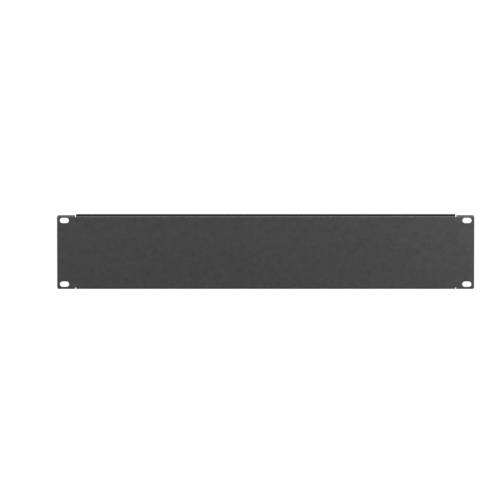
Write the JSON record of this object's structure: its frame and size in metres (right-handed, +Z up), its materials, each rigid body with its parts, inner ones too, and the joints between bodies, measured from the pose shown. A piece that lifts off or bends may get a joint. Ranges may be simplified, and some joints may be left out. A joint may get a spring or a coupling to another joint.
{
  "type": "rack blanking panel",
  "caption": "Folded sheet-steel panel with slotted ears and stiffening flanges, which closes an unused space in the front of an equipment rack.",
  "frame": {"origin": "on the rear face, which seats on the rack's rails, midway between the four slots", "axes": "+X along the panel, to the right as seen from the front; +Y back into the rack; +Z up"},
  "size_m": [0.482, 0.007, 0.0882],
  "materials": {
    "powder_coat": "fine-textured satin black powder coat on steel"
  },
  "bodies": {
    "root": {"blanking_panel": "powder_coat"}
  },
  "joints": []
}
